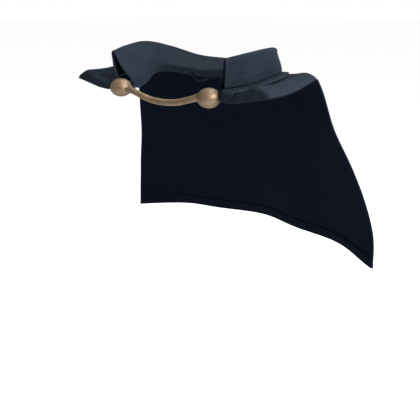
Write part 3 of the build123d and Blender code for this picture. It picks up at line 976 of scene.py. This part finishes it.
def turn_over(first: list[np.ndarray], last: list[np.ndarray], reach: float) -> list[np.ndarray]:
    """Joins two runs of points with a smooth turn, tangent to both.

    Args:
        first: points before the turn.
        last: points after it.
        reach: how far the turn follows each run, as a share of the gap.

    Returns:
        All the points in order.
    """
    start, end = first[-1], last[0]
    ahead = (first[-1] - first[-2]) / np.linalg.norm(first[-1] - first[-2])
    behind = (last[1] - last[0]) / np.linalg.norm(last[1] - last[0])
    pull = np.linalg.norm(end - start) * reach
    c, d = start + ahead * pull, end - behind * pull
    turn = [start * (1 - t) ** 3 + c * 3 * t * (1 - t) ** 2 + d * 3 * t * t * (1 - t)
            + end * t ** 3 for t in (i / 14 for i in range(1, 14))]
    return first + turn + last


@dataclass
class SubAssembly:
    """What each cloth part of the cape is made with, and how its pieces are sewn."""

    wardrobe: Wardrobe
    repeats: Repeats
    stitch: bpy.types.Object
    stitch_pitch: float = 0.0042
    stitch_jitter: float = 0.12

    def sew(self, sheet: ClothSheet, finish: ClothFinish, held: str, *nodes: str) -> Pieces:
        """Make a sheet for both sides, dress it, hide the CAD nodes that it stands for and
        attach it to the cape.

        Args:
            sheet: the maker of the sheet.
            finish: its cloth.
            held: how the cloth is held, or nothing for a small piece; not used.
            *nodes: the CAD nodes that it replaces, without their side.

        Returns:
            The pieces of both sides.
        """
        pieces = []
        for side in Side:
            piece = sheet.build(side)
            self.wardrobe.dress(piece, finish)
            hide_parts(*(node + "_" + side.word for node in nodes))
            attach(piece, "cape")
            pieces.append(piece)
        return tuple(pieces)

    def stitch_along(self, name: str, surface: Surface, facing: Facing,
                     path: Sequence[tuple[float, float]], lift: float,
                     seam: float = HALF_SEAM) -> Pieces:
        """Stitching along a line on both sides.

        Args:
            name: the pieces' name, without its side.
            surface: the surface that the thread lies on, in left-hand form.
            facing: which way the surface's normal points.
            path: (u, v) pairs along the line.
            lift: distance from the surface to the cloth's face.
            seam: shift off the centre line.

        Returns:
            The pieces of both sides.
        """
        pieces = []
        for side in Side:
            points, normals = offset_line(surface, facing, path, lift, side, seam)
            line = self.repeats.run(name + "_" + side.word, points, normals, self.stitch,
                                    self.stitch_pitch, self.stitch_jitter,
                                    self.wardrobe.material(THREAD_FINISH))
            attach(line, "cape")
            pieces.append(line)
        return tuple(pieces)


# ------------------------------------------------------------------ sub-assemblies
@dataclass(frozen=True)
class CollarParts:
    """Finished collar: wool halves, canvas inside, edge stitching."""

    halves: Pieces
    canvas: Pieces
    stitching: Pieces


@dataclass
class Collar(SubAssembly):
    """Stand-and-fall collar: one wool sheet per side, turned over at the rim."""

    roll: float = 0.0014
    wrap: float = 0.0110
    lapel: float = 0.0240
    canvas_back: float = 0.0019
    edge_length: float = 0.24
    stitch_inset: float = 0.006

    def facing(self, s: float, v: float) -> Point:
        """Inner face, from the neckline (v = 0) up to the rim (v = 1).

        Args:
            s: from the front to the centre back.
            v: from the neckline to the rim.

        Returns:
            The point.
        """
        x, y, z = (lerp(a, b, v) for a, b in zip(FORM.neckline(s), FORM.rim(s)))
        sag = 0.003 * (1 - s) * math.sin(math.pi * v)
        return (x, y, z + (WOOL + LAYER_GAP) * (1 - v) - sag)

    def fall(self, s: float, v: float) -> Point:
        """Outer face, from the rim (v = 0) down to the yoke (v = 1).

        Args:
            s: from the front to the centre back.
            v: from the rim to the yoke.

        Returns:
            The point.
        """
        low = FORM.collar_base(s)
        x, y, z = (lerp(a, b, v) for a, b in zip(FORM.rim(s), low))
        size = math.hypot(low[0], low[1])
        swell = 0.002 * math.sin(math.pi * v) + 0.0008 + 0.0008 * v
        return (x + low[0] / size * swell, y + low[1] / size * swell, z)

    def outline(self, s: float) -> list[np.ndarray]:
        """Section from the neckline over the rolled rim to the lower edge.

        Args:
            s: from the front to the centre back.

        Returns:
            Points along the section.
        """
        outer = []
        x, y, z = self.facing(s, 0.0)
        inset = 1 - (0.0025 + WOOL / 2) / math.hypot(x, y)
        depth = along([(0.0005,), (self.lapel,), (self.lapel,), (self.wrap,), (self.wrap,),
                       (self.wrap,), (self.wrap,), (self.wrap,)], s)[0]
        inner = [np.array([x * inset, y * inset, z - depth * (1 - i / 4)]) for i in range(5)]
        upward = normal_at(self.facing, Facing.UP, s, 0.5)
        low = np.array(FORM.collar_base(s))
        away = np.array([low[0], low[1], 0.0])
        away /= np.linalg.norm(away)
        for i in range(25):
            v = lerp(0.06, 0.95, i / 24)
            extra = self.roll * 0.5 * smooth((v - 0.6) / 0.35)
            inner.append(np.array(self.facing(s, v)) + upward * (WOOL / 2 + extra))
        for i in range(25):
            v = lerp(0.05, 1.0, i / 24)
            extra = self.roll * (1 - smooth(v / 0.4))
            outer.append(np.array(self.fall(s, v)) + away * (WOOL / 2 + extra))
        return turn_over(inner, outer, 0.66)

    def build_stitching(self) -> Pieces:
        """Edge stitching on the fall, a little above its lower edge and inside its front."""
        surface = Section(self.outline)
        drop = math.dist(surface(0.5, 0.55), surface(0.5, 1.0)) / 0.45
        edge = 1 - self.stitch_inset / drop
        front = self.stitch_inset / self.edge_length
        path = [(front, lerp(0.56, edge, i / 12)) for i in range(12)]
        path += [(lerp(front, 1.0, i / 70), edge) for i in range(71)]
        return self.stitch_along("collar_stitching", surface, Facing.OUT, path, WOOL / 2)

    def build(self) -> CollarParts:
        """Both sides of the collar with its canvas and stitching."""
        wool = ClothSheet("collar", Section(self.outline), Facing.UP, -WOOL / 2, WOOL / 2,
                          nu=56, nv=70)
        canvas = ClothSheet("collar_interlining", self.facing, Facing.UP, -self.canvas_back,
                            -LAYER_GAP, (0.10, 1.0), (0.2, 0.86), nu=40, nv=16)
        return CollarParts(
            self.sew(wool, WOOL_FINISH, "folded", "collar_facing", "collar_fall"),
            self.sew(canvas, CANVAS_FINISH, "folded", "collar_canvas"), self.build_stitching())


@dataclass(frozen=True)
class ShoulderParts:
    """Finished shoulders: wool shells, linings, wadding, yokes, stitching."""

    shells: Pieces
    linings: Pieces
    pads: Pieces
    yokes: Pieces
    stitching: Pieces


@dataclass
class Shoulders(SubAssembly):
    """Padded shoulders with a turned-down front edge, and the yoke that lies over them."""

    corner: float = 0.006
    pad_s: tuple[float, float] = (0.04, 0.8)
    pad_t: tuple[float, float] = (0.42, 0.93)
    pad_floor: float = 0.001
    pad_least: float = 0.0006
    yoke_drop: float = 0.014
    stitch_inset: float = 0.005

    def yoke_surface(self, s: float, v: float) -> Point:
        """Layer over the shoulder, from under the collar to its free edge.

        Args:
            s: from the front to the shoulder seam.
            v: from under the collar to the edge.

        Returns:
            The point.
        """
        inner = lerp(0.2, 0.38, s)
        edge = lerp(0.52, 0.57, s) + 0.04 * math.sin(math.pi * s)
        edge -= 0.05 * smooth((s - 0.75) / 0.25)
        x, y, z = FORM.shoulder_top(s, lerp(inner, edge, v))
        lift = 0.0024 * v * v * math.sin(math.pi * s)
        return (x, y, z + WOOL + LAYER_GAP + lift)

    def yoke_back_surface(self, u: float, v: float) -> Point:
        """Layer over the back of the neck, from the centre to the shoulder seam.

        Args:
            u: from the centre to the shoulder seam.
            v: from under the collar to the edge.

        Returns:
            The point.
        """
        start = lerp(0.09, 0.02, u)
        end = lerp(0.2, 0.025 + 0.11 * (1 - u), u)
        return FORM.back(0.62 * u, lerp(start, end, v))

    def outline(self, t: float) -> list[np.ndarray]:
        """Section from the front's lower edge up and over to the shoulder seam.

        Args:
            t: from the neckline to the outer edge.

        Returns:
            Points along the section.
        """
        x, y, z = FORM.shoulder_low(0.0, t)
        keep = 1 - smooth((t - 0.945) / 0.045)
        height = FORM.pad_height(0.0, t) * keep + WOOL / 2
        rise = height - min(self.corner, height * 0.6)
        front = [np.array([x, y - LAYER_GAP - WOOL / 2, z - 0.0006 + rise * i / 8])
                 for i in range(9)]
        top = []
        for i in range(41):
            s = lerp(0.075, 0.985, i / 40)
            a, b, c = FORM.shoulder_low(s, t)
            top.append(np.array([a, b, c + FORM.pad_height(s, t) * keep + WOOL / 2]))
        return turn_over(front, top, 0.4)

    def yoke_outline(self, v: float) -> list[np.ndarray]:
        """Section of the yoke from its turned-down front to the shoulder seam.

        Args:
            v: from under the collar to the edge.

        Returns:
            Points along the section.
        """
        x, y, z = self.yoke_surface(0.0, v)
        drop = self.yoke_drop * (1 - v) + 0.0005
        front = [np.array([x, y - 0.0041, z - 0.003 - drop * (1 - i / 6)]) for i in range(7)]
        top = [np.array(self.yoke_surface(lerp(0.09, 0.985, i / 40), v)) + [0, 0, WOOL / 2]
               for i in range(41)]
        return turn_over(front, top, 0.4)

    def build_pad(self, side: Side) -> bpy.types.Object:
        """Wadding between the wool and the lining, thin at its edges.

        Args:
            side: the cape's side.

        Returns:
            The wadding.
        """
        count = 31
        grid = np.zeros((count, count, 3))
        half = np.zeros((count, count, 3))
        for i, j in np.ndindex(count, count):
            s = lerp(*self.pad_s, i / (count - 1))
            t = lerp(*self.pad_t, j / (count - 1))
            height = max(FORM.pad_height(s, t) - 2 * self.pad_floor, self.pad_least)
            edge = min(i, j, count - 1 - i, count - 1 - j) / 4
            half[i, j, 2] = height / 2 * math.sqrt(1 - (1 - min(edge, 1.0)) ** 2)
            lift = self.pad_floor + height / 2
            grid[i, j] = np.array(FORM.shoulder_low(s, t)) + [HALF_SEAM, 0, lift]
        mirror = np.array([side.value, 1.0, 1.0])
        top, low = grid + half, grid - half
        pad = closed_sheet("shoulder_wadding_" + side.word, top * mirror, low * mirror,
                           edge_lengths(top, 0), edge_lengths(top, 1),
                           np.broadcast_to([0.0, 0.0, 1.0], grid.shape))
        self.wardrobe.dress(pad, WADDING_FINISH)
        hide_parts("shoulder_pad_" + side.word)
        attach(pad, "cape")
        return pad

    def build_yokes(self) -> Pieces:
        """Yoke over both shoulders and over the back of the neck."""
        front = ClothSheet("shoulder_yoke", Section(self.yoke_outline), Facing.UP,
                           -WOOL / 2, WOOL / 2, nu=30, nv=64)
        low = WOOL + LAYER_GAP
        rear = ClothSheet("back_yoke", self.yoke_back_surface, Facing.BACK, low, low + WOOL,
                          (0.0, 0.98), nu=48, nv=20)
        return (self.sew(front, WOOL_FINISH, "laid", "yoke")
                + self.sew(rear, WOOL_FINISH, "laid", "yoke_back"))

    def build_stitching(self) -> Pieces:
        """Edge stitching just inside the yoke's free edge."""
        reach = math.dist(self.yoke_surface(0.5, 0.5), self.yoke_surface(0.5, 1.0)) * 2
        edge = 1 - self.stitch_inset / reach
        path = [(edge, lerp(0.04, 0.97, i / 80)) for i in range(81)]
        return self.stitch_along("yoke_stitching", Section(self.yoke_outline), Facing.UP, path,
                                 WOOL / 2)

    def build(self) -> ShoulderParts:
        """Both shoulders, in the order that they were sewn."""
        shell = ClothSheet("shoulder", Section(self.outline), Facing.UP, -WOOL / 2, WOOL / 2,
                           (0.035, 0.99), nu=72, nv=72)
        lining = ClothSheet("under_shoulder", FORM.shoulder_low, Facing.UP,
                            -LAYER_GAP - SATIN, -LAYER_GAP, (0.005, 0.98), (0.03, 0.99),
                            nu=40, nv=40)
        return ShoulderParts(
            self.sew(shell, WOOL_FINISH, "draped", "shoulder_shell", "front_facing"),
            self.sew(lining, SATIN_WITH_PAINTED_SHADE, "stretched", "shoulder_lining"),
            tuple(self.build_pad(side) for side in Side), self.build_yokes(),
            self.build_stitching())


@dataclass(frozen=True)
class BackParts:
    """Finished back: wool, lining, hem facing, stitching."""

    shells: Pieces
    linings: Pieces
    hems: Pieces
    stitching: Pieces


@dataclass
class Back(SubAssembly):
    """Fluted back of the cape, which hangs from the shoulder seams and widens to its hem."""

    stitch_pitch: float = 0.0048
    hem_stitch: float = 0.009
    side_stitch: float = 0.006
    drop: float = 0.29
    half_width: float = 0.32

    def build_stitching(self) -> Pieces:
        """Stitching down the side edge and along the hem."""
        hem = 1 - self.hem_stitch / self.drop
        edge = 1 - self.side_stitch / self.half_width
        path = [(edge, lerp(0.05, hem, i / 60)) for i in range(60)]
        path += [(lerp(edge, 0.0, i / 90), hem) for i in range(91)]
        return self.stitch_along("back_stitching", FORM.back, Facing.BACK, path, WOOL)

    def build(self) -> BackParts:
        """Both halves of the back: wool, satin and the satin band inside the hem."""
        shell = ClothSheet("back", FORM.back, Facing.BACK, 0.0, WOOL, (0.0, 1.0),
                           (0.008, 1.0), nu=90, nv=90)
        lining = ClothSheet("lining", FORM.back, Facing.BACK, -LAYER_GAP - SATIN, -LAYER_GAP,
                            (0.0, 0.995), (0.018, 0.995), nu=90, nv=90)
        low = -2 * LAYER_GAP - SATIN
        band = ClothSheet("hem_band", FORM.back, Facing.BACK, low - SATIN, low,
                          (0.0, 0.99), (0.93, 0.993), nu=90, nv=8)
        return BackParts(self.sew(shell, WOOL_FINISH, "hung", "back_shell"),
                         self.sew(lining, SATIN_WITH_PAINTED_SHADE, "hung", "back_lining"),
                         self.sew(band, SATIN_WITH_PAINTED_SHADE, "hung", "hem_facing"),
                         self.build_stitching())


@dataclass(frozen=True)
class NeckParts:
    """Finished neck: binding tape, hanging loop, tabs behind the balls."""

    tapes: Pieces
    loop: bpy.types.Object
    tabs: Pieces
    stitching: Pieces


@dataclass
class Neck(SubAssembly):
    """Binding of the neckline, with the loop that it hangs by and the clasps' tabs."""

    stitch_pitch: float = 0.0036
    stitch_jitter: float = 0.1
    tab_x: tuple[float, float] = (0.098, 0.1186)
    tab_y: float = -0.023
    tab_z: tuple[float, float] = (-0.008, 0.011)
    tab_half: float = 0.002
    tape_half: float = 0.0005

    def tape_surface(self, s: float, v: float) -> Point:
        """Tape standing just inside the neckline seam."""
        x, y, z = FORM.neckline(lerp(0.07, 1.0, s))
        inset = 1 - 0.002 / math.hypot(x, y)
        return (x * inset, y * inset, z + lerp(-0.0092, 0.0012, v))

    def loop_surface(self, u: float, v: float) -> Point:
        """Hanging loop inside the back of the neck."""
        x = lerp(-0.026, 0.026, u)
        bow = math.sin(math.pi * u)
        return (x, FORM.neck_back - 0.0036 - 0.005 * bow,
                FORM.neck_back_z - 0.003 - 0.012 * bow + lerp(-0.0025, 0.0025, v))

    def tab_surface(self, u: float, v: float) -> Point:
        """Middle of the folded tab that holds a clasp."""
        return (lerp(*self.tab_x, u), self.tab_y, lerp(*self.tab_z, v))

    def build_loop(self) -> bpy.types.Object:
        """The hanging loop, across the centre."""
        sheet = ClothSheet("hanging_loop", self.loop_surface, Facing.FRONT, -self.tape_half,
                           self.tape_half, nu=40, nv=4, seam=0.0)
        loop = sheet.build(Side.LEFT)
        loop.name = "hanging_loop"
        self.wardrobe.dress(loop, TAPE_WITH_PAINTED_SHADE)
        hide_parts("hanger_loop")
        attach(loop, "cape")
        return loop

    def build_stitching(self) -> Pieces:
        """Stitching round the face of each tab."""
        corners = [(0.14, 0.14), (0.86, 0.14), (0.86, 0.86), (0.14, 0.86), (0.14, 0.14)]
        path = [(lerp(a[0], b[0], i / 6), lerp(a[1], b[1], i / 6))
                for a, b in zip(corners, corners[1:]) for i in range(6)] + [corners[-1]]
        return self.stitch_along("tab_stitching", self.tab_surface, Facing.FRONT, path,
                                 self.tab_half, 0.0)

    def build(self) -> NeckParts:
        """The neck's pieces on both sides."""
        tape = ClothSheet("neck_binding", self.tape_surface, Facing.IN, -self.tape_half,
                          self.tape_half, nu=80, nv=6)
        tab = ClothSheet("tab", self.tab_surface, Facing.FRONT, -self.tab_half,
                         self.tab_half, nu=10, nv=10, seam=0.0)
        return NeckParts(self.sew(tape, TAPE_WITH_PAINTED_SHADE, "stretched", "neck_tape"),
                         self.build_loop(), self.sew(tab, WOOL_FINISH, "", "clasp_tab"),
                         self.build_stitching())


@dataclass(frozen=True)
class ClosureParts:
    """Finished closure: the chain's cord, its rings and the metal pieces."""

    cord: bpy.types.Object
    rings: bpy.types.Object
    metal: tuple[str, ...]


@dataclass
class Closure:
    """Ball-and-chain closure: a snake chain between two hollow brass balls."""

    wardrobe: Wardrobe
    repeats: Repeats
    diameter: float = 0.0105
    core: float = 0.0050
    ring: float = 0.00535
    ring_wire: float = 0.0007
    ring_pitch: float = 0.0021
    sag: float = 0.0166
    reach: float = 0.0875

    def route(self) -> list[Point]:
        """Control points of the chain, from the right end to the left."""
        return [(x, FORM.clasp_y, -self.sag * (1 - (x / self.reach) ** 2))
                for x in (-0.0825, -0.050, -0.017, 0.017, 0.050, 0.0825)]

    def build_cord(self) -> bpy.types.Object:
        """Smooth core of the chain."""
        curve = bpy.data.curves.new("chain_core", "CURVE")
        curve.dimensions = "3D"
        curve.bevel_depth = self.core
        curve.bevel_resolution = 8
        curve.resolution_u = 16
        curve.use_fill_caps = True
        spline = curve.splines.new("NURBS")
        points = self.route()
        spline.points.add(len(points) - 1)
        for point, place in zip(spline.points, points):
            point.co = (*place, 1.0)
        spline.order_u = 3
        spline.use_endpoint_u = True
        core = show("chain_core", curve)
        core.data.materials.append(self.wardrobe.material(CHAIN_FINISH))
        return core

    def centre_line(self) -> list[np.ndarray]:
        """Dense points on the chain's centre line (quadratic B-spline with clamped ends)."""
        points = [np.array(p) for p in self.route()]
        last = len(points) - 2
        knots = [0, 0] + list(range(last + 1)) + [last, last]
        line = []
        for i in range(161):
            t = last * i / 160
            k = min(int(t), last - 1) + 2
            local = [points[j + k - 2] for j in range(3)]
            for r in (1, 2):
                for j in range(2, r - 1, -1):
                    low, high = knots[j + k - 2], knots[j + 1 + k - r]
                    share = (t - low) / (high - low)
                    local[j] = local[j - 1] * (1 - share) + local[j] * share
            line.append(local[2])
        return line

    def build_rings(self) -> bpy.types.Object:
        """Rings of the snake chain along its core."""
        line = self.centre_line()
        shape = ring_shape(self.ring, self.ring_wire)
        rings = self.repeats.run("chain_rings", line, [(0.0, 1.0, 0.0)] * len(line), shape,
                                 self.ring_pitch, 0.0, self.wardrobe.material(CHAIN_FINISH))
        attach(rings, "chain")
        return rings

    def dress_metal(self) -> tuple[str, ...]:
        """Give every metal CAD piece its finish."""
        finishes = {"ball_upper": BRASS_FINISH, "ball_lower": BRASS_FINISH,
                    "clasp_rivet": STEEL_FINISH, "clasp_eyelet": BRASS_FINISH,
                    "clasp_nut": STEEL_FINISH, "clasp_plate": STEEL_FINISH,
                    "clasp_post": BRASS_FINISH, "chain_cap": CHAIN_FINISH,
                    "chain_stem": STEEL_FINISH}
        done = []
        for stem, finish in finishes.items():
            for side in Side:
                self.wardrobe.dress_node(stem + "_" + side.word, finish)
                done.append(stem + "_" + side.word)
        self.wardrobe.dress_node("pivot_bead_right", STEEL_FINISH)
        return (*done, "pivot_bead_right")

    def build(self) -> ClosureParts:
        """The chain and the metal pieces at both ends."""
        cord = self.build_cord()
        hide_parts("chain")
        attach(cord, "chain")
        rings = self.build_rings()
        ends = ["chain_cap_" + side.word for side in Side]
        ends += ["chain_stem_" + side.word for side in Side]
        return ClosureParts(cord, rings, self.dress_metal())


# ------------------------------------------------------------------ studio
@dataclass(frozen=True)
class Camera:
    """Where the camera stands and how it looks."""

    place: Point = (0.9655, -0.8813, 0.1409)
    azimuth: float = 45.576
    elevation: float = 15.0
    lens: float = 65.9

    def build(self) -> bpy.types.Object:
        """The scene's camera."""
        lens = bpy.data.cameras.new("camera")
        lens.lens = self.lens
        lens.sensor_width = 36.0
        lens.clip_start = 0.01
        camera = show("camera", lens)
        camera.location = self.place
        camera.rotation_euler = (math.radians(90 - self.elevation), 0.0,
                                 math.radians(self.azimuth))
        bpy.context.scene.camera = camera
        return camera


@dataclass(frozen=True)
class Lamp:
    """One soft area light."""

    name: str
    place: Point
    aim: Point
    size: float
    power: float

    def build(self) -> bpy.types.Object:
        """The light, turned to its aim."""
        light = bpy.data.lights.new(self.name, "AREA")
        light.energy = self.power
        light.size = self.size
        lamp = show(self.name, light)
        lamp.location = self.place
        turn = (Vector(self.aim) - Vector(self.place)).to_track_quat("-Z", "Y")
        lamp.rotation_euler = turn.to_euler()
        return lamp


@dataclass(frozen=True)
class Studio:
    """Pale floor, white surroundings and soft lights."""

    floor_z: float = -0.5
    world: float = 0.36
    glow: float = 0.64
    lamps: tuple[Lamp, ...] = (
        Lamp("key", (1.9, 0.1, 0.95), (0.0, 0.02, 0.0), 0.9, 62.0),
        Lamp("fill", (-1.2, -1.6, 1.0), (0.0, 0.0, -0.05), 1.6, 2.0),
        Lamp("overhead", (0.2, 0.7, 1.8), (0.0, 0.05, 0.0), 1.2, 24.0),
    )

    def build(self) -> None:
        """Floor, world and lights."""
        mesh = bpy.data.meshes.new("floor")
        mesh.from_pydata([(-30, -30, self.floor_z), (30, -30, self.floor_z),
                          (30, 30, self.floor_z), (-30, 30, self.floor_z)], [],
                         [(0, 1, 2, 3)])
        paint, tree, shader = new_material("floor_paint")
        seen = add(tree, "ShaderNodeLightPath").outputs["Is Camera Ray"]
        feed(tree, shader, {
            "Base Color": (0.92, 0.92, 0.92, 1.0), "Roughness": 0.95,
            "Emission Color": (1.0, 1.0, 1.0, 1.0),
            "Emission Strength": maths(tree, "MULTIPLY", seen, self.glow)})
        mesh.materials.append(paint)
        show("floor", mesh)
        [lamp.build() for lamp in self.lamps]
        world = bpy.data.worlds.new("surroundings")
        world.use_nodes = True
        tree = world.node_tree
        seen = add(tree, "ShaderNodeLightPath").outputs["Is Camera Ray"]
        feed(tree, tree.nodes["Background"], {
            "Color": (1, 1, 1, 1),
            "Strength": maths(tree, "MULTIPLY_ADD", seen, 1 - self.world, self.world)})
        bpy.context.scene.world = world
        bpy.context.scene.view_settings.view_transform = "Standard"


def report(parts: object) -> None:
    """Log every piece of a finished sub-assembly.

    Args:
        parts: its result, with pieces, tuples of pieces or names of CAD nodes.
    """
    for found in vars(parts).values():
        for piece in found if isinstance(found, tuple) else (found,):
            log.info("%s", piece if isinstance(piece, str) else piece.name)


def main() -> None:
    """Build the cape piece by piece, with its camera, lights and floor."""
    logging.basicConfig(level=logging.INFO, format="%(message)s")
    Camera().build()
    wardrobe, repeats = Wardrobe(), Repeats()
    stitch = stitch_shape(0.0030, 0.0007)
    report(Closure(wardrobe, repeats).build())
    for maker in (Neck, Collar, Shoulders, Back):
        report(maker(wardrobe, repeats, stitch).build())
    Studio().build()


if __name__ == "__main__":
    main()
